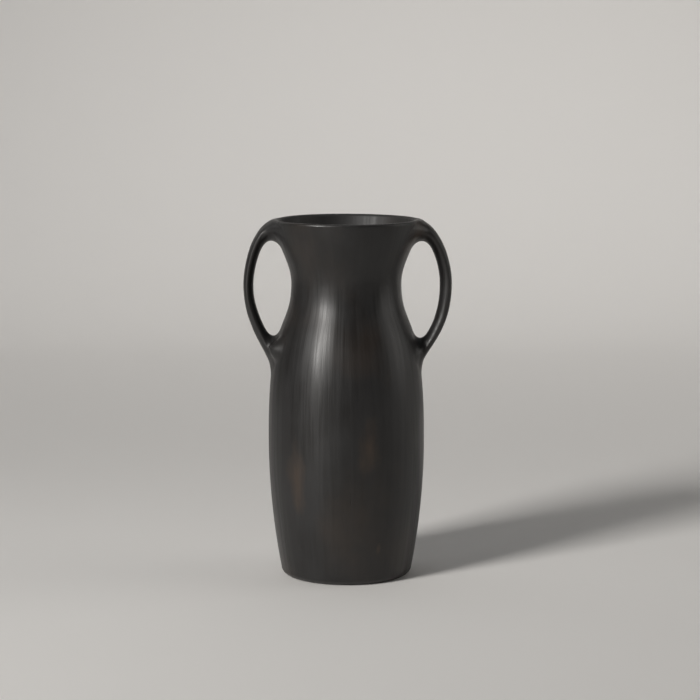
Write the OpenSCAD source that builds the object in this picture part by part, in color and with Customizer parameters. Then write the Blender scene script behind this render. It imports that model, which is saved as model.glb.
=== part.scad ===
// Tall two-handled vase of burnished black clay.
// Millimetres, +Z up, origin at the centre of the face that it rests on.
// The handles stand along -X (left) and +X (right).
// The wall is raised in courses on a floor slab, each lapped on the one below with a bevel.
// The handles are pulled straps, luted to the wall with a coil of clay around each root.

/* [Foot] */
// Radius where the rounded corner of the foot meets the wall
foot_r = 64; // [60:0.5:67]
// Radius of the rounded corner of the foot
foot_round = 5.5; // [3:0.5:7]
// Lean of the wall out from vertical at the foot, in degrees
foot_lean = 11; // [6:1:14]
// How far up the wall that lean is felt
foot_pull = 73; // [50:1:90]

/* [Belly] */
// Largest radius of the body
belly_r = 76.5; // [74:0.5:80]
// Height of the largest radius
belly_z = 140; // [125:1:150]
// How far down the belly stays upright
belly_down_pull = 10; // [5:1:20]
// How far up the belly stays upright
belly_up_pull = 117; // [95:1:120]

/* [Neck] */
// Smallest radius of the neck
neck_r = 54; // [50:0.5:58]
// Height of the smallest radius
neck_z = 287; // [282:1:292]
// How far down the neck stays upright
neck_down_pull = 45; // [30:1:50]
// How far up the neck stays upright
neck_up_pull = 20; // [12:1:25]

/* [Rim] */
// Height of the rim, which is the height of the vase
rim_z = 350; // [346:1:354]
// Outer radius of the rim
rim_r = 71; // [69:0.5:73]
// Lean of the wall out from vertical at the rim, in degrees
rim_lean = 11; // [8:1:16]
// How far down the wall that lean is felt
rim_pull = 30; // [20:1:34]
// Thickness of the rim, which is half round
rim_t = 5.5; // [4.5:0.5:6.5]

/* [Wall] */
// Thickness of the wall
wall_t = 7; // [6:0.5:8]
// Thickness of the floor
floor_t = 9; // [8:0.5:10]
// Radius of the corner inside, between the wall and the floor
cove_r = 8; // [4:1:12]
// Height of the first joint in the wall, measured outside
lower_top = 95; // [80:1:105]
// Height of the second joint
belly_top = 182; // [160:1:190]
// Height of the third joint
shoulder_top = 258; // [246:1:270]
// Height of the joint below the rim
neck_top = 333; // [328:1:336]
// How much higher each bevelled joint is inside than outside
lap_rise = 6; // [3:0.5:7]

/* [Handles] */
// How far the middle of the left strap stands from the axis
left_reach = 95.5; // [93:0.5:98]
// Height at which the left strap stands out furthest
left_reach_z = 284.5; // [280:0.5:290]
// How far down the left strap stays upright
left_down_pull = 33; // [28:1:48]
// Thickness of the left strap at its top, middle and foot
left_strap_t = [11, 10, 12.5]; // [8:0.5:14]
// How far the middle of the right strap stands from the axis
right_reach = 97; // [94:0.5:99]
// Height at which the right strap stands out furthest
right_reach_z = 287; // [280:0.5:290]
// How far down the right strap stays upright
right_down_pull = 44; // [28:1:48]
// Thickness of the right strap at its top, middle and foot
right_strap_t = [12.5, 12, 11]; // [8:0.5:14]
// Width of both straps, front to back, at the top, middle and foot
strap_w = [27, 19, 19]; // [16:0.5:28]
// Height at which the strap runs into the wall at its foot
strap_foot_z = 212.5; // [208:0.5:216]
// Lean of the strap out from vertical at its foot, in degrees
strap_foot_lean = 22; // [18:1:26]
// How squarely the strap is shaped: 1 is an ellipse, and less is squarer
strap_square = 0.8; // [0.6:0.05:1]

/* [Luting coils] */
// How far out from the wall an upper coil reaches along the middle of the strap
upper_lute_reach = 20; // [16:1:22]
// How far the upper coil spreads over the wall at each side
upper_lute_side = 4; // [2:0.5:6]
// How far it spreads down the wall, under the strap
upper_lute_under = 14; // [8:0.5:16]
// How far out from the wall a lower coil reaches along the middle of the strap
lower_lute_reach = 15; // [12:1:18]
// How far the lower coil spreads over the wall at each side
lower_lute_side = 4.5; // [2:0.5:6]
// How far it spreads up the wall, in the crotch of the strap
lower_lute_crotch = 14; // [8:0.5:18]
// How far it spreads down the wall, below the strap
lower_lute_below = 5; // [2:0.5:8]

/* [Hidden] */

// Steps along each curve of the wall, round each corner, and along and round a strap
curve_steps = 16;
corner_steps = 8;
strap_steps = 16;
strap_sides = 28;
// Facets of the wall in a preview
$fn = 160;
// Height of the crown of the strap below the rim
strap_drop = 0.1;
// How far out from the wall the middle of the strap is where its bent length ends and it runs
// straight to the wall, at the top and at the foot
upper_stub = 1;
lower_stub = 7;
// Radius at which the line of the strap starts, inside the wall, and the lengths of its pulls
strap_root_r = 66;
strap_top_pull = 18;
strap_up_pull = 23;
strap_foot_r = 70;
strap_foot_pull = 18;
// Film of slip between the wall and what is luted to it
slip_t = 0.1;
// Parts of the strap's end face, from its edge to its middle
end_rings = [0.75, 0.5, 0.25];
// Columns of skin that an upper coil leaves bare, from the crown of the strap to each side
crown_columns = 4;
// How sharply a coil curves up on to the strap
lute_curve = 2;

// ---- Lines and tables ----
function bezier(p, steps) = [
    for (i = [0:steps])
        let (t = i / steps)
        pow(1 - t, 3) * p[0] + 3 * t * pow(1 - t, 2) * p[1]
            + 3 * t * t * (1 - t) * p[2] + pow(t, 3) * p[3]
];
function arc(centre, r, from, to, steps) = [
    for (i = [0:steps])
        let (a = from + (to - from) * i / steps)
        centre + r * [cos(a), sin(a)]
];
function tail(list) = [for (i = [1:len(list) - 1]) list[i]];
function by_height(points) = [for (p = points) [p.y, p.x]];
function turned_out(lean) = [sin(lean), cos(lean)];
function power(v, e) = sign(v) * pow(abs(v), e);
function step_along(list, i) = list[min(i + 1, len(list) - 1)] - list[max(i - 1, 0)];

// ---- Outside of the wall, as [radius, height] ----
foot_arc = arc([foot_r - foot_round * cos(foot_lean), foot_round], foot_round,
    -90, -foot_lean, corner_steps);
foot_top = foot_arc[corner_steps];
lip_centre = [rim_r - rim_t / 2, rim_z - rim_t / 2];
lip_outer_arc = arc(lip_centre, rim_t / 2, -rim_lean, 90, corner_steps);
lip_inner_arc = arc(lip_centre, rim_t / 2, 90, 180 - rim_lean, corner_steps);
lip_edge = lip_outer_arc[0];
belly_curve = bezier([foot_top, foot_top + foot_pull * turned_out(foot_lean),
    [belly_r, belly_z - belly_down_pull], [belly_r, belly_z]], curve_steps);
shoulder_curve = bezier([[belly_r, belly_z], [belly_r, belly_z + belly_up_pull],
    [neck_r, neck_z - neck_down_pull], [neck_r, neck_z]], curve_steps);
neck_curve = bezier([[neck_r, neck_z], [neck_r, neck_z + neck_up_pull],
    lip_edge - rim_pull * turned_out(rim_lean), lip_edge], curve_steps);
wall_line = concat(belly_curve, tail(shoulder_curve), tail(neck_curve));
outer_line = concat(foot_arc, tail(wall_line), tail(lip_outer_arc));
outer_table = by_height(outer_line);
function outer_r(z) = lookup(z, outer_table);

// ---- Inside of the wall, a wall's thickness in from each point of the outside ----
function wall_at(z) = lookup(z, [[neck_z, wall_t], [lip_edge.y, rim_t]]);
function inward(i) =
    let (along = step_along(wall_line, i))
    [-along.y, along.x] / norm(along);
inner_line = [for (i = [0:len(wall_line) - 2]) wall_line[i] + wall_at(wall_line[i].y) * inward(i)];
inner_table = by_height(concat(inner_line, [lip_inner_arc[corner_steps]]));
function inner_r(z) = lookup(z, inner_table);

// ---- Courses of the wall ----
function between(line, from, to) = [for (p = line) if (p.y > from && p.y < to) p];
function reversed(list) = [for (i = [len(list) - 1:-1:0]) list[i]];
function outer_band(from, to) = concat([[outer_r(from), from]],
    between(outer_line, from, to), [[outer_r(to), to]]);
function inner_band(from, to) = reversed(concat([[inner_r(from), from]],
    between(inner_line, from, to), [[inner_r(to), to]]));

module course(from, to) {
    rotate_extrude()
        polygon(concat(outer_band(from, to), inner_band(from + lap_rise, to + lap_rise)));
}

module floor_slab() {
    color("#2a2a2b")
        rotate_extrude()
            polygon(concat([[0, 0]], [for (p = outer_line) if (p.y < floor_t) p],
                [[outer_r(floor_t), floor_t], [0, floor_t]]));
}

// The first course stands on the slab and is coved into it.
module lower_wall() {
    cove_top = [inner_r(floor_t + cove_r), floor_t + cove_r];
    color("#2f2f30")
        rotate_extrude()
            polygon(concat(outer_band(floor_t, lower_top),
                inner_band(cove_top.y, lower_top + lap_rise),
                tail(arc(cove_top - [cove_r, 0], cove_r, 0, -90, corner_steps))));
}

module belly_wall() {
    color("#333334")
        course(lower_top, belly_top);
}

module shoulder_wall() {
    color("#2f2f30")
        course(belly_top, shoulder_top);
}

module neck_wall() {
    color("#333334")
        course(shoulder_top, neck_top);
}

module rim_coil() {
    color("#2a2a2b")
        rotate_extrude()
            polygon(concat([[outer_r(neck_top), neck_top]],
                between(outer_line, neck_top, lip_edge.y),
                lip_outer_arc, tail(lip_inner_arc),
                reversed(between(inner_line, neck_top + lap_rise, lip_edge.y)),
                [[inner_r(neck_top + lap_rise), neck_top + lap_rise]]));
}

// ---- Straps ----
// A side is [reach, height of the reach, pull below it, thicknesses].
left_side = [left_reach, left_reach_z, left_down_pull, left_strap_t];
right_side = [right_reach, right_reach_z, right_down_pull, right_strap_t];

function strap_line(side) =
    let (crown_z = rim_z - strap_drop - side[3][0] / 2, out = [side[0], side[1]])
    concat(
        bezier([[strap_root_r, crown_z], [strap_root_r + strap_top_pull, crown_z],
            out + [0, strap_up_pull], out], strap_steps),
        tail(bezier([out, out - [0, side[2]],
            [strap_foot_r, strap_foot_z] + strap_foot_pull * turned_out(strap_foot_lean),
            [strap_foot_r, strap_foot_z]], strap_steps)));

function along_strap(i, values) =
    lookup(i, [[0, values[0]], [strap_steps, values[1]], [2 * strap_steps, values[2]]]);

// One ring of skin round the strap. Column 0 is outside, and half way round is the gap.
function strap_ring(line, i, thickness) =
    let (along = step_along(line, i), out = [-along.y, along.x] / norm(along),
        half_t = along_strap(i, thickness) / 2, half_w = along_strap(i, strap_w) / 2)
    [for (column = [0:strap_sides - 1])
        let (a = column * 360 / strap_sides,
            p = line[i] + half_t * power(cos(a), strap_square) * out)
        [p.x, half_w * power(sin(a), strap_square), p.y]];

// The rings of one half of the strap whose middle is between two distances out from the wall
function rings_in(side, half, from, to) =
    let (line = strap_line(side))
    [for (i = half == "upper" ? [0:strap_steps - 1] : [strap_steps:2 * strap_steps])
        let (out = line[i].x - outer_r(line[i].y))
        if (out > from && out <= to) strap_ring(line, i, side[3])];

// Runs a point on along a direction until it meets the wall, by halving the stretch that the
// meeting point lies in.
function onto_wall(p, way, near = 0, far = 60, halvings = 22) =
    halvings == 0 ? p + near * way :
    let (middle = (near + far) / 2, q = p + middle * way)
    norm([q.x, q.y]) > outer_r(q.z) + slip_t ? onto_wall(p, way, middle, far, halvings - 1)
        : onto_wall(p, way, near, middle, halvings - 1);

// Moves a point straight in or out to the wall at its own height.
function seated(p) =
    let (r = outer_r(p.z) + slip_t, a = atan2(p.y, p.x))
    [r * cos(a), r * sin(a), p.z];

function middle_of(ring) = [for (k = [0:2]) (ring[0][k] + ring[len(ring) / 2][k]) / 2];

// The straight way from a ring to the end of the strap's line
function way_to(ring, line_end) =
    let (step = [line_end.x, 0, line_end.y] - middle_of(ring))
    step / norm(step);
function upper_way(side, ring) = way_to(ring, strap_line(side)[0]);
function lower_way(side, ring) = way_to(ring, strap_line(side)[2 * strap_steps]);
function end_ring(ring, way) = [for (p = ring) onto_wall(p, way)];
function end_face(ring, way) =
    let (m = middle_of(ring))
    [for (part = end_rings) [for (p = ring) onto_wall(m + part * (p - m), way)]];

// A closed skin over a stack of rings, with a point at each end. The first point is point 0.
function between_rings(count, sides) = [
    for (k = [0:count - 2], c = [0:sides - 1])
        let (a = 1 + k * sides + c, b = 1 + k * sides + (c + 1) % sides)
        each [[a, b, b + sides], [a, b + sides, a + sides]]
];
function fans(count, sides) = [
    for (c = [0:sides - 1])
        let (d = (c + 1) % sides, top = 1 + (count - 1) * sides)
        each [[0, 1 + d, 1 + c], [count * sides + 1, top + c, top + d]]
];

module strap(side) {
    rings = concat(rings_in(side, "upper", upper_stub, rim_r),
        rings_in(side, "lower", lower_stub, rim_r));
    last = len(rings) - 1;
    up_way = upper_way(side, rings[0]);
    foot_way = lower_way(side, rings[last]);
    stack = concat(reversed(end_face(rings[0], up_way)), [end_ring(rings[0], up_way)], rings,
        [end_ring(rings[last], foot_way)], end_face(rings[last], foot_way));
    points = concat([onto_wall(middle_of(rings[0]), up_way)], [for (ring = stack) each ring],
        [onto_wall(middle_of(rings[last]), foot_way)]);
    polyhedron(points, concat(between_rings(len(stack), strap_sides), fans(len(stack), strap_sides)));
}

module handle_left() {
    color("#303031")
        mirror([1, 0, 0])
            strap(left_side);
}

module handle_right() {
    color("#303031")
        strap(right_side);
}

// ---- Luting coils ----
// A coil fills the corner between the strap and the wall. Each column of the strap's skin gives
// one slice: along the skin to the wall, over the wall, and back in a curve to the skin.
function lute_slice(skin, spread) =
    let (m = len(skin) - 1, shift = seated(skin[m] + spread) - skin[m])
    concat(skin, [seated(skin[m] + shift / 2)],
        [for (j = [m:-1:1]) j == m ? skin[m] + shift : skin[j] + pow(j / m, lute_curve) * shift]);

// Skins from the first slice to the last, closed in a loop or capped at both ends
function between_slices(slices, points, looped) = [
    for (s = [0:slices - (looped ? 1 : 2)], k = [0:points - 1])
        let (t = (s + 1) % slices, l = (k + 1) % points,
            a = s * points + k, b = s * points + l, c = t * points + l, d = t * points + k)
        each [[a, b, c], [a, c, d]]
];
function slice_cap(first, points) =
    let (m = points / 2 - 1, end = first + points)
    concat([[first, first + 1, end - 1], [first + m, first + m + 1, first + m + 2]],
        [for (j = [1:m - 1]) each [[first + j, first + j + 1, end - j - 1],
            [first + j, end - j - 1, end - j]]]);
function flipped(faces) = [for (f = faces) [f[0], f[2], f[1]]];

module upper_lute(side) {
    rings = rings_in(side, "upper", upper_stub, upper_lute_reach);
    skins = concat([end_ring(rings[0], upper_way(side, rings[0]))], rings);
    slices = [
        for (c = [strap_sides - crown_columns:-1:crown_columns])
            let (a = c * 360 / strap_sides)
            lute_slice([for (k = [len(skins) - 1:-1:0]) skins[k][c]],
                [0, upper_lute_side * sin(a), upper_lute_under * min(0, cos(a))])
    ];
    points = len(slices[0]);
    last = (len(slices) - 1) * points;
    polyhedron([for (slice = slices) each slice],
        concat(between_slices(len(slices), points, false),
            flipped(slice_cap(0, points)), slice_cap(last, points)));
}

module lower_lute(side) {
    rings = rings_in(side, "lower", lower_stub, lower_lute_reach);
    last = len(rings) - 1;
    skins = concat(rings, [end_ring(rings[last], lower_way(side, rings[last]))]);
    slices = [
        for (c = [0:strap_sides - 1])
            let (a = c * 360 / strap_sides,
                rise = cos(a) > 0 ? -lower_lute_below : -lower_lute_crotch)
            lute_slice([for (skin = skins) skin[c]], [0, lower_lute_side * sin(a), rise * cos(a)])
    ];
    polyhedron([for (slice = slices) each slice],
        between_slices(len(slices), len(slices[0]), true));
}

module lute_upper_left() {
    color("#3a3a3b")
        mirror([1, 0, 0])
            upper_lute(left_side);
}

module lute_upper_right() {
    color("#3a3a3b")
        upper_lute(right_side);
}

module lute_lower_left() {
    color("#3a3a3b")
        mirror([1, 0, 0])
            lower_lute(left_side);
}

module lute_lower_right() {
    color("#3a3a3b")
        lower_lute(right_side);
}

floor_slab();
lower_wall();
belly_wall();
shoulder_wall();
neck_wall();
rim_coil();
handle_left();
handle_right();
lute_upper_left();
lute_upper_right();
lute_lower_left();
lute_lower_right();
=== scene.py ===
"""A tall two-handled vase of burnished black clay, built as the pieces of clay it is made of.

The vase's surface is one signed distance function, in millimetres: a turned wall, and a strap on
each side that runs into the wall in a soft fillet. It is meshed once and then cut along the
joints between the pieces, so that the pieces meet exactly and the joints don't show outside.
"""
import math

import bmesh
import bpy
import numpy as np
import openvdb
from mathutils import Matrix, Vector


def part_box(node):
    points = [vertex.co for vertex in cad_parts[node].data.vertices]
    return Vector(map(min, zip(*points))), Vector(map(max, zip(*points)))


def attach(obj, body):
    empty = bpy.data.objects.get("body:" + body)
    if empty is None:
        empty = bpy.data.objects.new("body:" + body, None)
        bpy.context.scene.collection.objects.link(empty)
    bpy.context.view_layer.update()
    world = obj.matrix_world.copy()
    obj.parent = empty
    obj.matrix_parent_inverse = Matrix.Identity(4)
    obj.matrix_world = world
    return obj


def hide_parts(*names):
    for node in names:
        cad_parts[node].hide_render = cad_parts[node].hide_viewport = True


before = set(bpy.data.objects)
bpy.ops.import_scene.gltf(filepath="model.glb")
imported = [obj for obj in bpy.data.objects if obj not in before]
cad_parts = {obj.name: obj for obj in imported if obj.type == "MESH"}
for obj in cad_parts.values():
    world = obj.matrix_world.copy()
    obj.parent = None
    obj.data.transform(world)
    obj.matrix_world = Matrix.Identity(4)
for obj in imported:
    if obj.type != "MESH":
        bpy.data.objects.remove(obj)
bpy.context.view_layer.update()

MM = 0.001


def box_mm(node):
    """Lowest and highest corner of a CAD node, in millimetres."""
    low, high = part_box(node)
    return np.array(low) / MM, np.array(high) / MM


# ---- Driving dimensions, in millimetres and degrees ----
PITCH = 1.2   # spacing of the mesh

RIM_Z = box_mm("rim_coil")[1][2]
RIM_R = box_mm("rim_coil")[1][0]
RIM_LEAN, RIM_PULL, RIM_T = 11.0, 30.0, 5.5
BELLY_R = box_mm("belly_wall")[1][0]
BELLY_Z, BELLY_DOWN_PULL, BELLY_UP_PULL = 140.0, 10.0, 117.0
NECK_R, NECK_Z, NECK_DOWN_PULL, NECK_UP_PULL = 54.0, 287.0, 45.0, 20.0
FOOT_R, FOOT_ROUND, FOOT_LEAN, FOOT_PULL = 64.0, 5.5, 11.0, 73.0
WALL_T, COVE_R = 7.0, 8.0
FLOOR_Z = box_mm("floor_slab")[1][2]
LAP_RISE = box_mm("lower_wall")[1][2] - box_mm("belly_wall")[0][2]
JOINTS_Z = [box_mm(node)[0][2] for node in ("belly_wall", "shoulder_wall", "neck_wall", "rim_coil")]

# Low marks that the hands leave, each as how far it rises or sinks
HAND_RISE, STROKE_RISE, RIM_RISE, GRIP_RISE = 0.28, 0.11, 0.45, 0.16
GRIP_ROUND, GRIP_SINK = 8.0, 0.6              # front to back for one radian, and mostly inward
FINGER_RISE, FINGER_PITCH, FINGER_DRIFT = 0.3, 13.0, 2.5   # ridges up the inside of the wall
FINGER_TOP, FINGER_FADE = 12.0, 40.0          # how far below the rim they begin, and grow in full
SWIRL_RISE, SWIRL_PITCH, SWIRL_EYE = 0.35, 4.5, 12.0       # the spiral on the inside of the floor


class Side:
    """One strap, drawn from a few numbers.

    reach_z, down_pull: the height of its outermost point, and how far its curve pulls down there.
    thick, wide: its thickness and width at the crown, half way and at the foot.
    ridge: where its widest line lies there, from the inner face (-1) to the outer face (1).
    power: the shape of its section, where 2 is an ellipse and less gives a soft ridge each side.
    pads: lumps of clay that the thumb has smeared beside the lower root, each as its middle and
    its half sizes, in distance out, distance towards the back, and height.
    """

    def __init__(self, name, sign, reach_z, down_pull, thick, wide, ridge, power, pads=()):
        node_low, node_high = box_mm("handle_" + name)
        outermost = node_high[0] if sign > 0 else -node_low[0]
        self.name, self.sign = name, sign
        self.reach, self.reach_z, self.down_pull = outermost - thick[1] / 2, reach_z, down_pull
        self.thick, self.wide, self.ridge, self.power = thick, wide, ridge, power
        self.pads = pads


SIDES = [Side("left", -1, reach_z=284.5, down_pull=33.0, thick=(11.5, 10.0, 12.5),
              wide=(27.0, 19.0, 25.0), ridge=(0.2, 0.2, 0.0), power=1.75,
              pads=(((61.8, -22.0, 224.5), (12.7, 8.8, 8.5)),)),
         Side("right", 1, reach_z=287.0, down_pull=44.0, thick=(12.5, 12.0, 11.0),
              wide=(27.0, 19.0, 24.0), ridge=(0.1, 0.35, 0.25), power=2.0)]
STRAP_ROOT_R, STRAP_TOP_PULL, STRAP_UP_PULL = 66.0, 18.0, 23.0
STRAP_FOOT_R, STRAP_FOOT_Z, STRAP_FOOT_PULL, STRAP_FOOT_LEAN = 70.0, 212.5, 18.0, 22.0
CROWN_FLARE, FOOT_FLARE = 2, 6                # how late the strap widens towards each end
UPPER_FILLET, LOWER_FILLET = (7.0, 19.5), (4.5, 13.5)      # on top of the strap, and in the gap
FILLET_LOW_Z, FILLET_HIGH_Z = 240.0, 300.0    # between these, the lower pair turns into the upper
PAD_FILLET = 7.5
STRAP_NEAR_X, STRAP_NEAR_Z = 50.0, 180.0      # no strap or fillet comes in or down past these
STRAP_GRID_X, STRAP_GRID_Y = 48.0, 32.0       # the grid round the straps: beyond x and within y


# ---- Curves ----
def smooth_step(v, low, high):
    """0 up to low, 1 from high, and a smooth rise between."""
    t = np.clip((v - low) / (high - low), 0, 1)
    return t * t * (3 - 2 * t)


def bezier(points, count):
    """Points along a cubic curve with four control points."""
    p = np.array(points, float)
    t = np.linspace(0, 1, count)[:, None]
    return ((1 - t) ** 3 * p[0] + 3 * t * (1 - t) ** 2 * p[1]
            + 3 * t * t * (1 - t) * p[2] + t ** 3 * p[3])


def turned_out(lean):
    """Upward direction in the plane of [radius, height], leaning out by an angle."""
    return np.array([math.sin(math.radians(lean)), math.cos(math.radians(lean))])


def outer_curve():
    """Outside of the wall as [radius, height], from under the foot to above the rim."""
    past_end, steps, lip_t = 12.0, 400, RIM_T / 2
    foot = np.array([FOOT_R, FOOT_ROUND * (1 - math.sin(math.radians(FOOT_LEAN)))])
    lip = np.array([RIM_R - lip_t, RIM_Z - lip_t]) + lip_t * np.array(
        [math.cos(math.radians(RIM_LEAN)), -math.sin(math.radians(RIM_LEAN))])
    below = foot - past_end * turned_out(FOOT_LEAN)
    above = lip + past_end * turned_out(RIM_LEAN)
    return np.concatenate([
        [below],
        bezier([foot, foot + FOOT_PULL * turned_out(FOOT_LEAN),
                [BELLY_R, BELLY_Z - BELLY_DOWN_PULL], [BELLY_R, BELLY_Z]], steps),
        bezier([[BELLY_R, BELLY_Z], [BELLY_R, BELLY_Z + BELLY_UP_PULL],
                [NECK_R, NECK_Z - NECK_DOWN_PULL], [NECK_R, NECK_Z]], steps)[1:],
        bezier([[NECK_R, NECK_Z], [NECK_R, NECK_Z + NECK_UP_PULL],
                lip - RIM_PULL * turned_out(RIM_LEAN), lip], steps)[1:],
        [above]])


OUTER = outer_curve()
ALONG = np.gradient(OUTER, axis=0)
ALONG /= np.linalg.norm(ALONG, axis=1)[:, None]
THICK = np.interp(OUTER[:, 1], [NECK_Z, RIM_Z], [WALL_T, RIM_T])[:, None]
INNER = OUTER + THICK * np.stack([-ALONG[:, 1], ALONG[:, 0]], 1)
STEEP = ALONG[:, 1]        # cosine of the wall's lean


def waves(seed, count, lowest, highest, height):
    """Seeded waves round and up the wall: [times round, phase, height of one, phase, size]."""
    rng = np.random.default_rng(seed)
    return [(rng.integers(lowest, highest + 1), rng.uniform(0, 2 * math.pi),
             rng.uniform(0.6, 1.6) * height, rng.uniform(0, 2 * math.pi), rng.uniform(0.5, 1))
            for _ in range(count)]


def sum_waves(table, angle, z):
    """The waves of a table added up, within -1 and 1."""
    total = 0
    for times, phase, rise, start, size in table:
        total = total + size * np.cos(times * angle + phase) * np.cos(2 * math.pi * z / rise + start)
    return total / sum(w[4] for w in table)


HAND = waves(3, 5, 1, 4, 260.0)         # the slow unevenness of a wall raised by hand
STROKES = waves(11, 14, 22, 48, 420.0)  # the flats that upright strokes of the stone leave
FINGERS = waves(5, 4, 1, 3, 300.0)      # drift of the finger ridges inside
RIM_WAVES = waves(8, 3, 1, 3, 4000.0)   # a lip that isn't quite level
GRIP = waves(21, 6, 1, 3, 26.0)         # the squeezes of the fingers that pulled the straps


# ---- Distance functions: negative inside the clay ----
def round_both(a, b, radius):
    """Where both a and b are inside, with the edge between them rounded."""
    return (np.minimum(np.maximum(a, b), -radius)
            + np.hypot(np.maximum(a + radius, 0), np.maximum(b + radius, 0)))


def fill_either(a, b, radius):
    """Where either a or b is inside, with the corner between them filled to a radius."""
    return (np.maximum(np.minimum(a, b), radius)
            - np.hypot(np.maximum(radius - a, 0), np.maximum(radius - b, 0)))


class StrapLine:
    """The middle line of a strap in the XZ plane, with a table of the distance out from it."""

    # The table's step and its corners, as [distance out from the axis, height]
    STEP, LOW, HIGH = 0.5, np.array([48.0, 176.0]), np.array([112.0, 360.0])

    def __init__(self, side):
        self.side = side
        self.crown_z = RIM_Z - side.thick[0] / 2 - 0.1
        out = np.array([side.reach, side.reach_z])
        foot = np.array([STRAP_FOOT_R, STRAP_FOOT_Z])
        upper = bezier([[STRAP_ROOT_R, self.crown_z], [STRAP_ROOT_R + STRAP_TOP_PULL, self.crown_z],
                        out + [0, STRAP_UP_PULL], out], 500)
        lower = bezier([out, out - [0, side.down_pull],
                        foot + STRAP_FOOT_PULL * turned_out(STRAP_FOOT_LEAN), foot], 500)
        raw = np.concatenate([upper, lower[1:]])
        run = np.concatenate([[0], np.cumsum(np.linalg.norm(np.diff(raw, axis=0), axis=1))])
        self.s = np.linspace(0, run[-1], int(run[-1] / self.STEP) + 1)
        self.points = np.stack([np.interp(self.s, run, raw[:, k]) for k in (0, 1)], 1)
        tangent = np.gradient(self.points, axis=0)
        self.tangent = tangent / np.linalg.norm(tangent, axis=1)[:, None]
        self.out = np.stack([-self.tangent[:, 1], self.tangent[:, 0]], 1)
        self.table = self.offset_table()

    def offset_table(self):
        """Distance out from the line, at points of the XZ plane in even steps."""
        axes = [np.arange(low, high, self.STEP) for low, high in zip(self.LOW, self.HIGH)]
        x, z = np.meshgrid(*axes, indexing="ij")
        table = np.empty(x.shape)
        for row in range(len(x)):
            gap = (x[row][:, None] - self.points[:, 0]) ** 2 + (z[row][:, None] - self.points[:, 1]) ** 2
            k = gap.argmin(1)
            ahead = np.sum((np.stack([x[row], z[row]], 1) - self.points[k]) * self.tangent[k], 1)
            s = np.clip(self.s[k] + ahead, 0, self.s[-1])
            at = [np.interp(s, self.s, column) for column in (*self.points.T, *self.out.T)]
            table[row] = (x[row] - at[0]) * at[2] + (z[row] - at[1]) * at[3]
        return table

    def offset(self, x, z):
        """Distance out from the line, positive on the side away from the vase."""
        limit = np.array(self.table.shape)[:, None] - 1.001
        cell = np.clip((np.stack([x, z]) - self.LOW[:, None]) / self.STEP, 0, limit)
        k = cell.astype(int)
        (i, j), (u, v) = k, cell - k
        t = self.table
        return ((t[i, j] * (1 - u) + t[i + 1, j] * u) * (1 - v)
                + (t[i, j + 1] * (1 - u) + t[i + 1, j + 1] * u) * v)

    def section(self, z):
        """Half thickness, half width, and how far the sides lie out from the middle, at a height."""
        up = smooth_step(z, self.side.reach_z, self.crown_z)
        down = smooth_step(z, self.side.reach_z, STRAP_FOOT_Z)
        top, middle, bottom = self.side.thick
        half_t = (middle + (top - middle) * up + (bottom - middle) * down) / 2
        crown, foot = up ** CROWN_FLARE, down ** FOOT_FLARE
        top, middle, bottom = self.side.wide
        half_w = (middle + (top - middle) * crown + (bottom - middle) * foot) / 2
        top, middle, bottom = self.side.ridge
        ridge = middle + (top - middle) * up + (bottom - middle) * down
        return half_t, half_w, ridge * half_t

    def distance(self, n, y, z):
        """Distance to a section that is an ellipse drawn out to a soft ridge front and back."""
        (half_t, half_w, shift), power = self.section(z), self.side.power
        v = np.abs(y) / half_w
        bent = shift * np.minimum(v, 1.2) ** 2     # the ridges lie off the middle line
        u = np.abs(n - bent) / half_t
        q = np.maximum(u ** power + v ** power, 1e-6) ** (1 / power)
        slope = q ** (1 - power) * np.hypot(u ** (power - 1) / half_t, v ** (power - 1) / half_w)
        return (q - 1) / np.maximum(slope, 1e-3)

    def fillet(self, n, z):
        """Radius of the fillet to the wall: tightest on top of the strap, widest in the gap."""
        up = smooth_step(z, FILLET_LOW_Z, FILLET_HIGH_Z)
        inward = -n / self.section(z)[0]           # -1 on the outer face, 1 on the inner one
        in_gap = smooth_step(inward, -0.9 - 0.1 * up, 0.7 - 0.3 * up)
        on_top, at_gap = (low + up * (high - low) for low, high in zip(LOWER_FILLET, UPPER_FILLET))
        return on_top + in_gap * (at_gap - on_top)


for side in SIDES:
    side.line = StrapLine(side)


def pad_distance(p, middle, half):
    """Distance to an ellipsoid, near enough for a fillet."""
    p = (p - middle) / half
    far = np.linalg.norm(p, axis=1)
    return far * (far - 1) / np.maximum(np.linalg.norm(p / half, axis=1), 1e-6)


def with_strap(solid, side, x, y, z):
    """The solid vase joined to one strap and its pads, where they are near."""
    near = np.flatnonzero((x * side.sign > STRAP_NEAR_X) & (z > STRAP_NEAR_Z))
    out, py, pz = x[near] * side.sign, y[near], z[near]
    n = side.line.offset(out, pz)
    swell = GRIP_RISE * (sum_waves(GRIP, py / GRIP_ROUND, pz) - GRIP_SINK)
    strap = side.line.distance(n, py, pz) - swell
    joined = fill_either(solid[near], strap, side.line.fillet(n, pz))
    for middle, half in side.pads:
        joined = fill_either(joined, pad_distance(np.stack([out, py, pz], 1), middle, half), PAD_FILLET)
    solid[near] = joined
    return solid


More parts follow.
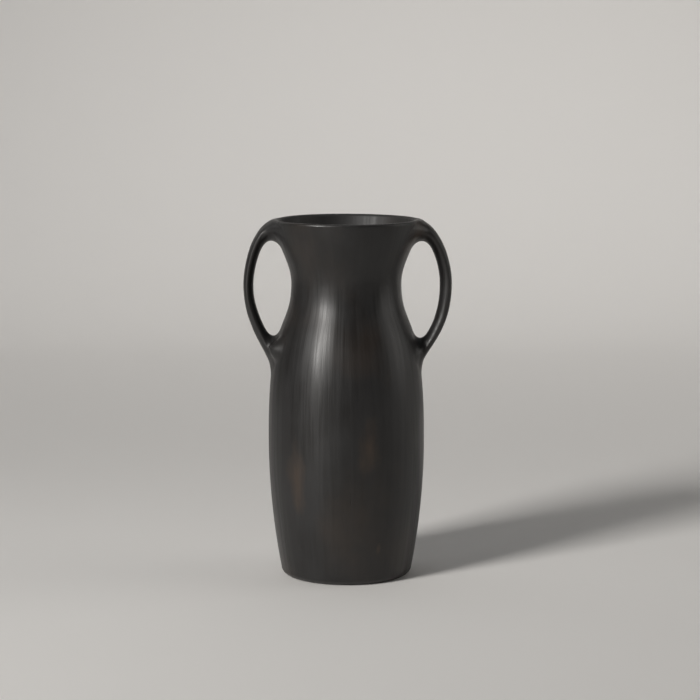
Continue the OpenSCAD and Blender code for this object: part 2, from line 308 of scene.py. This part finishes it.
def vase_distance(p):
    """Signed distance to the whole vase at an array of points [count, 3]."""
    x, y, z = p.T
    r, angle = np.hypot(x, y), np.arctan2(y, x)
    steep = np.interp(z, OUTER[:, 1], STEEP)
    hand = HAND_RISE * (sum_waves(HAND, angle, z) - 1)
    strokes = STROKE_RISE * sum_waves(STROKES, angle, z)
    solid = (r - np.interp(z, OUTER[:, 1], OUTER[:, 0]) - hand - strokes) * steep
    for side in SIDES:
        solid = with_strap(solid, side, x, y, z)
    top = z - RIM_Z - RIM_RISE * (sum_waves(RIM_WAVES, angle, z) - 1)
    solid = round_both(round_both(solid, -z, FOOT_ROUND), top, RIM_T / 2)
    turns = 2 * math.pi * z / FINGER_PITCH
    ridges = FINGER_RISE * np.sin(turns + FINGER_DRIFT * sum_waves(FINGERS, angle, z))
    below_mouth = np.clip((RIM_Z - FINGER_TOP - z) / FINGER_FADE, 0, 1)
    inner = (r - np.interp(z, INNER[:, 1], INNER[:, 0]) - hand - below_mouth * ridges) * steep
    swirl = SWIRL_RISE * np.cos(r / SWIRL_PITCH + angle) * np.clip(r / SWIRL_EYE, 0, 1)
    hollow = round_both(inner, FLOOR_Z + swirl - z, COVE_R)
    return round_both(solid, -hollow, RIM_T / 2)


def steepest(p, step=0.05):
    """Gradient of the vase's distance, from four points round each one."""
    corners = np.array([[1, 1, 1], [1, -1, -1], [-1, 1, -1], [-1, -1, 1]], float)
    return sum(c * vase_distance(p + step * c)[:, None] for c in corners) / (4 * step)


# ---- Meshes, in millimetres until each piece is finished ----
def new_mesh(name, points, faces):
    """A mesh from lists of points and faces."""
    mesh = bpy.data.meshes.new(name)
    mesh.from_pydata([tuple(p) for p in points], [], [tuple(f) for f in faces])
    return mesh


def vase_mesh():
    """The whole vase as one closed mesh, each point pulled on to the surface."""
    room, strap_room = 3.0, 9.0
    low = np.array([-SIDES[0].reach - strap_room, -BELLY_R - room, -room])
    high = np.array([SIDES[1].reach + strap_room, BELLY_R + room, RIM_Z + room])
    axes = [np.arange(a, b, PITCH) for a, b in zip(low, high)]
    band = 3 * PITCH
    values = np.full([len(axis) for axis in axes], band, np.float32)
    x, y = np.meshgrid(axes[0], axes[1], indexing="ij")
    r, by_strap = np.hypot(x, y), (np.abs(x) > STRAP_GRID_X) & (np.abs(y) < STRAP_GRID_Y)
    for k, z in enumerate(axes[2]):
        outer, inner = (np.interp(z, curve[:, 1], curve[:, 0]) for curve in (OUTER, INNER))
        inner *= z > FLOOR_Z + COVE_R
        near = by_strap | (r < outer + band + PITCH) & (r > inner - band - PITCH)
        p = np.stack([x[near], y[near], np.full(near.sum(), z)], 1)
        values[:, :, k][near] = vase_distance(p)
    grid = openvdb.FloatGrid(band)
    grid.copyFromArray(np.clip(values, -band, band))
    points, quads = grid.convertToQuads(isovalue=0.0)
    points = low + PITCH * points.astype(float)
    for _ in range(2):
        slope = steepest(points)
        move = vase_distance(points)[:, None] * slope / np.sum(slope ** 2, 1)[:, None]
        points -= np.clip(move, -PITCH / 2, PITCH / 2)
    return new_mesh("vase", points, quads[:, ::-1])


def neighbours(sides):
    """The numbers of each point of a ring and the next one round."""
    return [(k, (k + 1) % sides) for k in range(sides)]


def tube_faces(rings, sides, first=0):
    """Four-sided faces between rings of points that follow one another, from point number first."""
    faces = []
    for ring in range(rings - 1):
        low, high = first + ring * sides, first + (ring + 1) * sides
        faces += [(low + a, low + b, high + b, high + a) for a, b in neighbours(sides)]
    return faces


def turned_solid(name, profile, sides=128):
    """A closed solid of revolution from [radius, height] points, both ends on the axis."""
    rings = np.array(profile[1:-1], float)
    angles = 2 * math.pi * np.arange(sides) / sides
    points = [(0, 0, profile[0][1]), (0, 0, profile[-1][1])]
    for r, z in rings:
        points += [(r * math.cos(a), r * math.sin(a), z) for a in angles]
    tube = tube_faces(len(rings), sides, first=2)
    low, high = 2, 2 + (len(rings) - 1) * sides
    faces = [(0, low + b, low + a) for a, b in neighbours(sides)]
    faces += [(1, high + a, high + b) for a, b in neighbours(sides)]
    return new_mesh(name, points, faces + tube)


def combine(first, second, operation):
    """A Boolean of two closed meshes, as a new mesh."""
    objects = [bpy.data.objects.new("part", mesh) for mesh in (first, second)]
    for obj in objects:
        bpy.context.scene.collection.objects.link(obj)
    cut = objects[0].modifiers.new("cut", "BOOLEAN")
    cut.operation, cut.solver, cut.object = operation, "MANIFOLD", objects[1]
    bpy.context.view_layer.update()
    result = bpy.data.meshes.new_from_object(
        objects[0].evaluated_get(bpy.context.evaluated_depsgraph_get()))
    for obj in objects:
        bpy.data.objects.remove(obj)
    return result


# ---- Pieces: cut out of the whole along the joints ----
SKIN = 2.0                  # how far the straps and the lutes are let into the wall
UPPER_LUTE_REACH, LOWER_LUTE_REACH = 20.0, 24.0   # how far along the strap each lute reaches
MERGE = 0.01                # points closer than this are one point
CORE, CLEAR = 0.75, 1.5     # the strap cutter against the strap, inside the lutes and between them
CUT_R, CUT_LOW = 120.0, -30.0   # how far out and down the cutters of the wall reach
# Balls whose hull holds each lute: distance out from the axis, height and size
UPPER_BALLS = (66, 336, 20), (80, 338, 17)
LOWER_BALLS = (68, 219, 23), (74, 233, 18)


def strap_cutter(side):
    """A tube round the strap's line: thinner than the strap inside the lutes, thicker between."""
    line, sides = side.line, 32
    end, past_end, jump, every, spare = line.s[-1], 8.0, 0.02, 5.0, 2.0
    upper, lower = UPPER_LUTE_REACH, end - LOWER_LUTE_REACH
    stations = [(-past_end, CORE), (0, CORE), (upper / 2, CORE), (upper, CORE), (upper + jump, CLEAR)]
    stations += [(s, CLEAR) for s in np.arange(upper + every, lower - spare, every)]
    stations += [(lower - jump, CLEAR), (lower, CORE), (end - LOWER_LUTE_REACH / 2, CORE),
                 (end, CORE), (end + past_end, CORE)]
    points = []
    for s, scale in stations:
        k = int(np.clip(s, 0, end) / end * (len(line.s) - 1))
        middle = line.points[k] + (s - line.s[k]) * line.tangent[k]
        half_t, half_w, shift = line.section(line.points[k][1])
        for a in 2 * math.pi * np.arange(sides) / sides:
            v = math.copysign(abs(math.sin(a)) ** (2 / side.power), math.sin(a))
            u = math.copysign(abs(math.cos(a)) ** (2 / side.power), math.cos(a))
            r, z = middle + (u * half_t * scale + shift * v * v) * line.out[k]
            points.append((r * side.sign, v * half_w * scale, z))
    last = (len(stations) - 1) * sides
    faces = tube_faces(len(stations), sides)
    faces += [tuple(reversed(range(sides))), tuple(range(last, last + sides))]
    if side.sign < 0:
        faces = [f[::-1] for f in faces]
    return outward(new_mesh("strap_cutter", points, faces))


def outward(mesh):
    """Turn a closed mesh's faces outward."""
    work = bmesh.new()
    work.from_mesh(mesh)
    bmesh.ops.recalc_face_normals(work, faces=work.faces)
    work.to_mesh(mesh)
    work.free()
    return mesh


def lute_zone(side, balls):
    """The hull of some balls, each [distance out from the axis, height, size]."""
    work = bmesh.new()
    for r, z, size in balls:
        for tilt in np.linspace(0, math.pi, 17):
            for turn in np.linspace(0, 2 * math.pi, 32, endpoint=False):
                away = Vector((math.sin(tilt) * math.cos(turn), math.sin(tilt) * math.sin(turn),
                               math.cos(tilt)))
                work.verts.new(Vector((r * side.sign, 0, z)) + size * away)
    bmesh.ops.remove_doubles(work, verts=work.verts, dist=MERGE)
    bmesh.ops.convex_hull(work, input=work.verts)
    bmesh.ops.delete(work, geom=[v for v in work.verts if not v.link_faces], context="VERTS")
    mesh = bpy.data.meshes.new("lute_zone")
    work.to_mesh(mesh)
    work.free()
    return outward(mesh)


def wall_core():
    """Everything inside the wall's skin, where no strap or lute reaches."""
    every, past_end, below_lip, flare = 12, 20.0, 4.0, 1.5
    rings = OUTER[::every] - SKIN * np.stack([ALONG[::every, 1], -ALONG[::every, 0]], 1)
    rings = rings[rings[:, 1] < RIM_Z - below_lip]
    top = RIM_Z + past_end
    profile = [(0, -past_end), (rings[0][0], -past_end), *rings, (rings[-1][0] + flare, top), (0, top)]
    return turned_solid("wall_core", profile)


def below_joint(z, rise):
    """Everything below a joint that climbs by rise from the outside of the wall to its inside."""
    outside = np.interp(z, OUTER[:, 1], OUTER[:, 0])
    slope, past_out, past_in = rise / WALL_T, 15.0, WALL_T + 8.0
    profile = [(0, CUT_LOW), (CUT_R, CUT_LOW), (CUT_R, z - past_out * slope),
               (outside + past_out, z - past_out * slope),
               (outside - past_in, z + past_in * slope), (0, z + past_in * slope)]
    return outward(turned_solid("below_joint", profile))


def largest_shell(mesh):
    """Drop the crumbs that a Boolean leaves where two cutters nearly touch."""
    work = bmesh.new()
    work.from_mesh(mesh)
    shells, seen = [], set()
    for start in work.verts:
        if start in seen:
            continue
        shell, edge = {start}, [start]
        while edge:
            for link in edge.pop().link_edges:
                for vert in link.verts:
                    if vert not in shell:
                        shell.add(vert)
                        edge.append(vert)
        seen |= shell
        shells.append(shell)
    crumbs = seen - max(shells, key=len)
    bmesh.ops.delete(work, geom=list(crumbs), context="VERTS")
    work.to_mesh(mesh)
    work.free()
    return mesh


def cut_pieces():
    """The twelve pieces of clay as closed meshes, by the name of the CAD node each one stands for."""
    rest, core, pieces = outward(vase_mesh()), outward(wall_core()), {}
    floor = turned_solid("floor", [(0, CUT_LOW), (CUT_R, CUT_LOW), (CUT_R, FLOOR_Z), (0, FLOOR_Z)])
    below = {node: below_joint(z, LAP_RISE) for node, z in zip(
        ("lower_wall", "belly_wall", "shoulder_wall", "neck_wall"), JOINTS_Z)}
    below["floor_slab"] = outward(floor)
    for node in ("floor_slab", "lower_wall", "belly_wall"):
        pieces[node] = combine(rest, below[node], "INTERSECT")
        rest = combine(rest, below[node], "DIFFERENCE")
    whole = rest
    for side in SIDES:
        strap = combine(strap_cutter(side), core, "DIFFERENCE")
        pieces["handle_" + side.name] = combine(whole, strap, "INTERSECT")
        rest = combine(rest, strap, "DIFFERENCE")
        for place, balls in (("upper", UPPER_BALLS), ("lower", LOWER_BALLS)):
            lute = combine(combine(lute_zone(side, balls), core, "DIFFERENCE"), strap, "DIFFERENCE")
            pieces[f"lute_{place}_{side.name}"] = combine(whole, lute, "INTERSECT")
            rest = combine(rest, lute, "DIFFERENCE")
    for node in ("shoulder_wall", "neck_wall"):
        pieces[node] = combine(rest, below[node], "INTERSECT")
        rest = combine(rest, below[node], "DIFFERENCE")
    pieces["rim_coil"] = rest
    return {node: largest_shell(mesh) for node, mesh in pieces.items()}


def vertex_array(mesh):
    """A mesh's points as an array [count, 3]."""
    flat = np.empty(3 * len(mesh.vertices), np.float32)
    mesh.vertices.foreach_get("co", flat)
    return flat.reshape(-1, 3).astype(float)


def shade(mesh):
    """Smooth normals where a face lies on the vase's surface, flat ones where it is a joint."""
    points = vertex_array(mesh)
    slope = steepest(points)
    slope /= np.linalg.norm(slope, axis=1)[:, None]
    corners = np.empty(len(mesh.loops), int)
    mesh.loops.foreach_get("vertex_index", corners)
    sizes, flat, centres = (np.empty(len(mesh.polygons), int), np.empty(3 * len(mesh.polygons)),
                            np.empty(3 * len(mesh.polygons)))
    mesh.polygons.foreach_get("loop_total", sizes)
    mesh.polygons.foreach_get("normal", flat)
    mesh.polygons.foreach_get("center", centres)
    flat, centres = flat.reshape(-1, 3), centres.reshape(-1, 3)
    off_surface, turned_away = 0.06 * PITCH ** 2 + 0.08, 0.7
    joint = np.abs(vase_distance(centres)) > off_surface
    joint |= np.sum(flat * steepest(centres), 1) < turned_away
    normals = np.where(np.repeat(joint, sizes)[:, None], np.repeat(flat, sizes, axis=0), slope[corners])
    mesh.shade_smooth()
    mesh.normals_split_custom_set(normals.tolist())


# Where the stone has burnished, and where handling has rubbed; the lighter lip and strap ridges are also
# a painted highlight
INSIDE_DEPTH = 3.4                  # a point this far in from the outer curve is inside
INSIDE_SHINE = 0.6                  # how well the mouth is burnished inside, at SHINE_TOP_Z
SHINE_LOW_Z, SHINE_TOP_Z = 296.0, 346.0
UNDERSIDE_Z, SIDE_Z = 0.2, 2.5      # between these the burnish begins, round the foot
RUB_AND_HIGHLIGHT_TALL, FOOT_RUB_Z = 1.6, 1.8     # the rubbed band on the lip and the foot; on the lip it is also a painted highlight
CREST_RUB_AND_HIGHLIGHT, CREST_WIDE = 0.6, 1.3    # the strap ridges, lighter as rubbed wear and as a painted highlight


def mark(mesh):
    """Store how far each point is burnished, and how much its edge is rubbed or painted lighter as a
    highlight.
    """
    x, y, z = vertex_array(mesh).T
    r = np.hypot(x, y)
    inside = r < np.interp(z, OUTER[:, 1], OUTER[:, 0]) - INSIDE_DEPTH
    burnish = np.where(inside, INSIDE_SHINE * smooth_step(z, SHINE_LOW_Z, SHINE_TOP_Z),
                       smooth_step(z, UNDERSIDE_Z, SIDE_Z))
    lip_reach, foot_reach, strap_reach = RIM_R + 1, FOOT_R - 5, STRAP_ROOT_R + 8
    lip = np.exp(-((z - RIM_Z) / RUB_AND_HIGHLIGHT_TALL) ** 2) * (r < lip_reach)
    foot = np.exp(-((z - FOOT_RUB_Z) / RUB_AND_HIGHLIGHT_TALL) ** 2) * (r > foot_reach)
    crest = np.zeros(len(z))
    for side in SIDES:
        strap = (x * side.sign > strap_reach) & (z > STRAP_FOOT_Z)
        _, half_w, shift = side.line.section(z)
        n = side.line.offset(x * side.sign, z)
        ridge = np.exp(-((n - shift) / CREST_WIDE) ** 2) * smooth_step(np.abs(y) / half_w, 0.75, 0.95)
        crest = np.where(strap, CREST_RUB_AND_HIGHLIGHT * ridge, crest)
    # The lighter band on the lip, the foot and the strap ridges: rubbed wear, and on the lip and ridges
    # also a painted highlight.
    for name, values in (("burnish", burnish), ("wear", np.clip(lip + foot + crest, 0, 1))):
        mesh.attributes.new(name, "FLOAT", "POINT").data.foreach_set("value", values.astype(np.float32))


def add_piece(node, mesh, material):
    """Finish a piece's mesh, in metres, and tie it to the body, the CAD node and the slot."""
    mark(mesh)
    shade(mesh)
    mesh.transform(Matrix.Scale(MM, 4))
    mesh.materials.clear()
    mesh.materials.append(material)
    piece = bpy.data.objects.new("clay_" + node, mesh)
    mesh.name = piece.name
    bpy.context.scene.collection.objects.link(piece)
    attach(piece, "root")
    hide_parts(node)


# ---- Materials ----
SQUASH = 0.38    # a smudge is taller than it is wide, so heights count this much in its reach


class Nodes:
    """A material's node tree with short calls for the few nodes that the clay needs."""

    def __init__(self, name):
        self.material = bpy.data.materials.new(name)
        self.material.use_nodes = True
        self.tree = self.material.node_tree
        self.shader = self.tree.nodes["Principled BSDF"]

    def add(self, kind, settings=(), **inputs):
        """A new node, with its settings and its inputs by name."""
        node = self.tree.nodes.new("ShaderNode" + kind)
        for key, value in dict(settings).items():
            setattr(node, key, value)
        for key, value in inputs.items():
            self.put(node.inputs[key.replace("_", " ")], value)
        return node

    def put(self, socket, value):
        """Link another node's output to a socket, or give it a plain value."""
        if isinstance(value, bpy.types.NodeSocket):
            self.tree.links.new(value, socket)
        else:
            socket.default_value = value

    def math(self, operation, a, b=0.0):
        node = self.add("Math", {"operation": operation})
        self.put(node.inputs[0], a)
        self.put(node.inputs[1], b)
        return node.outputs[0]

    def point_value(self, name):
        """A value that the mesh stores at each point."""
        return self.add("Attribute", {"attribute_name": name}).outputs["Fac"]

    def vector_math(self, operation, a, b):
        node = self.add("VectorMath", {"operation": operation})
        self.put(node.inputs[0], a)
        self.put(node.inputs[1], b)
        return node.outputs[0]

    def round_wall(self):
        """Object position moved in or out to one radius, so that a pattern follows the wall's slope."""
        place = self.add("TexCoord").outputs["Object"]
        flat = self.vector_math("NORMALIZE", self.vector_math("MULTIPLY", place, (1, 1, 0)), (0, 0, 0))
        ring = self.vector_math("MULTIPLY", flat, (BELLY_R * MM, BELLY_R * MM, 0))
        return self.vector_math("ADD", ring, self.vector_math("MULTIPLY", place, (0, 0, 1)))

    def noise(self, scale, stretch=1.0, detail=3.0, turn=(0, 0, 0), shift=(0, 0, 0), on=None):
        """Noise on a position with its height squeezed, so that the pattern runs upright."""
        place = self.add("Mapping", Vector=on or self.add("TexCoord").outputs["Object"],
                         Rotation=turn, Location=shift, Scale=(1, 1, 1 / stretch))
        node = self.add("TexNoise", Vector=place.outputs[0], Scale=scale, Detail=detail)
        return node.outputs["Fac"]

    def blot(self, place, reach, ragged):
        """A soft upright spot round a place on the object, with a ragged edge."""
        away = self.add("VectorMath", {"operation": "DISTANCE"})
        here = self.add("TexCoord").outputs["Object"]
        squashed = self.add("Mapping", Vector=here, Scale=(1, 1, SQUASH))
        self.put(away.inputs[0], squashed.outputs[0])
        self.put(away.inputs[1], (place[0], place[1], place[2] * SQUASH))
        gap = self.math("ADD", away.outputs["Value"], self.math("MULTIPLY", ragged, reach))
        return self.spread(gap, 0.35 * reach, 1.35 * reach, 1.0, 0.0)

    def spread(self, value, low, high, to_low=0.0, to_high=1.0):
        """Smoothly map the range low to high on to another range."""
        node = self.add("MapRange", {"interpolation_type": "SMOOTHSTEP"})
        for key, number in zip(("Value", "From Min", "From Max", "To Min", "To Max"),
                               (value, low, high, to_low, to_high)):
            self.put(node.inputs[key], number)
        return node.outputs[0]

    def mix(self, amount, a, b):
        """A colour between a and b."""
        node = self.add("Mix", {"data_type": "RGBA"})
        self.put(node.inputs[0], amount)
        self.put(node.inputs[6], a)
        self.put(node.inputs[7], b)
        return node.outputs[2]


BLACK = (0.0085, 0.0082, 0.0080, 1)      # burnished, smoke-fired clay
SLATE = (0.0150, 0.0150, 0.0155, 1)      # where the stone has laid it a little greyer
BROWN = (0.0410, 0.0285, 0.0205, 1)      # smudges where the smoke took less
RUBBED_AND_HIGHLIGHT = (0.0500, 0.0480, 0.0460, 1)     # edges worn by handling, and a painted highlight on the lip and strap ridges
RAW = (0.0300, 0.0290, 0.0285, 1)        # the unburnished inside and underside
# Places of the smudges on the wall, in metres, and how far each one reaches
SMUDGES = [(-0.048, -0.059, 0.103, 0.019), (0.023, -0.073, 0.134, 0.018), (0.031, -0.062, 0.036, 0.005),
           (0.066, -0.020, 0.332, 0.026), (0.055, 0.050, 0.095, 0.017), (-0.020, 0.073, 0.150, 0.014)]


def black_clay(name, gloss=0.37, turn=0.0, round_wall=False):
    """Smoke-fired black clay, burnished in upright strokes, matt where the stone didn't reach."""
    n = Nodes(name)
    burnish, wear = n.point_value("burnish"), n.point_value("wear")
    surface = n.round_wall() if round_wall else None
    strokes = n.noise(330, stretch=34, turn=(0.01, 0.015, turn), on=surface)
    hairs = n.noise(1000, stretch=60, turn=(-0.02, 0.01, turn + 1), on=surface)
    patches = n.noise(26, stretch=1.6, shift=(3, 1, 2))
    grit = n.noise(1500, detail=2)
    pits = n.spread(n.noise(420, detail=4, shift=(7, 2, 5)), 0.74, 0.80)
    smoke = n.spread(n.noise(13, stretch=1.3, detail=5, shift=(1.3, 4.1, 2.2)), 0.50, 0.72, 0.04, 0.36)
    for x, y, z, reach in SMUDGES:
        ragged = n.noise(90, stretch=2, detail=4)
        smoke = n.math("MAXIMUM", smoke, n.blot((x, y, z), reach, ragged))

    # Colour: grey patches and strokes, brown smudges, rubbed edges that also paint a highlight, and the
    # bare inside
    colour = n.mix(n.spread(patches, 0.35, 0.7), BLACK, SLATE)
    colour = n.mix(n.spread(strokes, 0.3, 0.7, 0, 0.5), colour, SLATE)
    colour = n.mix(smoke, colour, BROWN)
    # Lighter lip, foot and strap ridges: rubbed wear, and on the lip and ridges a painted highlight.
    colour = n.mix(n.math("MULTIPLY", wear, n.spread(grit, 0.3, 0.7, 0.15, 0.75)), colour, RUBBED_AND_HIGHLIGHT)
    colour = n.mix(burnish, RAW, colour)
    n.put(n.shader.inputs["Base Color"], colour)

    # Roughness: gloss, a little more or less along each stroke, and matt where nothing is burnished
    rough = n.math("ADD", n.spread(strokes, 0.25, 0.75, -0.05, 0.07), gloss)
    rough = n.math("ADD", rough, n.spread(hairs, 0.3, 0.7, -0.05, 0.06))
    rough = n.math("ADD", rough, n.spread(patches, 0.3, 0.7, -0.03, 0.05))
    rough = n.math("ADD", rough, n.math("MULTIPLY", pits, 0.2))
    matt = n.math("MULTIPLY", n.math("SUBTRACT", 1.0, burnish), 0.34)
    n.put(n.shader.inputs["Roughness"], n.math("ADD", rough, matt))

    # Relief: strokes and hairs, fine pits, and grit where nothing is burnished
    height = n.math("ADD", n.math("MULTIPLY", strokes, 0.9), n.math("MULTIPLY", hairs, 0.34))
    height = n.math("SUBTRACT", height, n.math("MULTIPLY", pits, 0.25))
    raw = n.math("MULTIPLY", n.math("SUBTRACT", 1.02, burnish), grit)
    height = n.math("ADD", height, n.math("MULTIPLY", raw, 0.9))
    bump = n.add("Bump", Height=height, Distance=0.00011, Strength=0.6)
    n.put(n.shader.inputs["Normal"], bump.outputs[0])
    n.shader.inputs["Specular IOR Level"].default_value = 0.44
    n.shader.inputs["IOR"].default_value = 1.5
    return n.material


def pale_card():
    """The backdrop's pale card. Towards its open sides it also glows, but only for the camera."""
    n = Nodes("pale_backdrop")
    place = n.add("SeparateXYZ", Vector=n.add("TexCoord").outputs["Object"])
    near, far = 1.2, 3.0
    aside = n.spread(n.math("ABSOLUTE", place.outputs["X"]), near, far)
    ahead = n.spread(n.math("MULTIPLY", place.outputs["Y"], -1.0), near, far)
    seen = n.add("LightPath").outputs["Is Camera Ray"]
    glow = n.math("MULTIPLY", n.math("MAXIMUM", aside, ahead), seen)
    n.put(n.shader.inputs["Emission Strength"], glow)
    n.shader.inputs["Emission Color"].default_value = (*PALE_ROOM, 1)
    n.shader.inputs["Base Color"].default_value = (0.80, 0.785, 0.765, 1)
    n.shader.inputs["Roughness"].default_value = 0.9
    return n.material


# ---- Floor, backdrop, light and camera, in metres ----
DIM_ROOM, PALE_ROOM = (0.036, 0.036, 0.036), (0.40, 0.39, 0.38)   # as the vase and the camera see it
BACKDROP_Y = 2.4


def add_stage():
    """A pale floor that sweeps up into a backdrop behind the vase."""
    wide, front, bend, tall, under_foot = 8.0, -9.0, 0.8, 5.0, 0.0004
    profile = [(front, 0.0)]
    profile += [(BACKDROP_Y - bend + bend * math.sin(a), bend - bend * math.cos(a))
                for a in np.linspace(0, math.pi / 2, 17)]
    profile += [(BACKDROP_Y, tall)]
    points = [(x, y, z - under_foot) for y, z in profile for x in (-wide, wide)]
    faces = [(2 * k, 2 * k + 1, 2 * k + 3, 2 * k + 2) for k in range(len(profile) - 1)]
    mesh = new_mesh("backdrop", points, faces)
    mesh.shade_smooth()
    mesh.materials.append(pale_card())
    stage = bpy.data.objects.new("backdrop", mesh)
    bpy.context.scene.collection.objects.link(stage)


def add_area(name, place, size, power, colour, aim=(0, 0, 0.2), spread=180):
    """A rectangular light that faces a point, near the vase's middle unless another is given."""
    light = bpy.data.lights.new(name, "AREA")
    light.spread = math.radians(spread)
    light.shape, light.size, light.size_y = "RECTANGLE", *size
    light.energy, light.color = power, colour
    lamp = bpy.data.objects.new(name, light)
    lamp.location = place
    lamp.rotation_euler = (Vector(aim) - Vector(place)).to_track_quat("-Z", "Y").to_euler()
    bpy.context.scene.collection.objects.link(lamp)


def add_lights():
    """A tall window on the left, soft light from the right, above and behind, and a lit backdrop."""
    add_area("window", (-2.5, -2.5, 1.75), (0.9, 2.0), 25, (1, 0.98, 0.95), spread=70)
    add_area("fill", (2.2, 0.1, 0.9), (1.6, 1.6), 9.5, (1, 0.97, 0.93))
    add_area("overhead", (0, 0.3, 1.9), (1.4, 1.0), 1.2, (0.9, 0.95, 1), spread=130)
    add_area("wall_wash", (0, 1.0, 3.2), (3.0, 0.6), 9, (1, 0.99, 0.98),
             aim=(0, BACKDROP_Y, 1.0), spread=80)
    add_area("back", (-1.8, 1.4, 1.3), (1.2, 1.6), 2.5, (1, 0.98, 0.96))


def add_world():
    """A room that is pale to the camera, and dim where the vase reflects it."""
    world = bpy.data.worlds.new("studio")
    world.use_nodes = True
    tree = world.node_tree
    seen, pick = tree.nodes.new("ShaderNodeLightPath"), tree.nodes.new("ShaderNodeMix")
    pick.data_type = "RGBA"
    tree.links.new(seen.outputs["Is Camera Ray"], pick.inputs[0])
    pick.inputs[6].default_value, pick.inputs[7].default_value = (*DIM_ROOM, 1), (*PALE_ROOM, 1)
    tree.links.new(pick.outputs[2], tree.nodes["Background"].inputs["Color"])
    bpy.context.scene.world = world
    bpy.context.scene.view_settings.view_transform = "Standard"


def add_camera():
    """A long lens just above the vase, looking a little down."""
    tilt_down = 7.595
    camera = bpy.data.objects.new("camera", bpy.data.cameras.new("camera"))
    camera.data.lens, camera.data.sensor_width = 123.4, 36
    camera.location = (0.0036, -2.327, 0.5315)
    camera.rotation_euler = (math.radians(90 - tilt_down), 0, 0)
    bpy.context.scene.collection.objects.link(camera)
    bpy.context.scene.camera = camera


# ---- Assembly ----
CLAYS = {"wall_clay": black_clay("burnished_wall", round_wall=True),
         "handle_clay": black_clay("burnished_handle", gloss=0.38, turn=0.7),
         "foot_clay": black_clay("burnished_foot", gloss=0.40, turn=0.4)}
SLOTS = {"floor_slab": "foot_clay", "handle": "handle_clay", "lute": "handle_clay"}

for node, mesh in cut_pieces().items():
    slot = SLOTS.get(node) or SLOTS.get(node.split("_")[0], "wall_clay")
    add_piece(node, mesh, CLAYS[slot])
add_stage()
add_lights()
add_world()
add_camera()
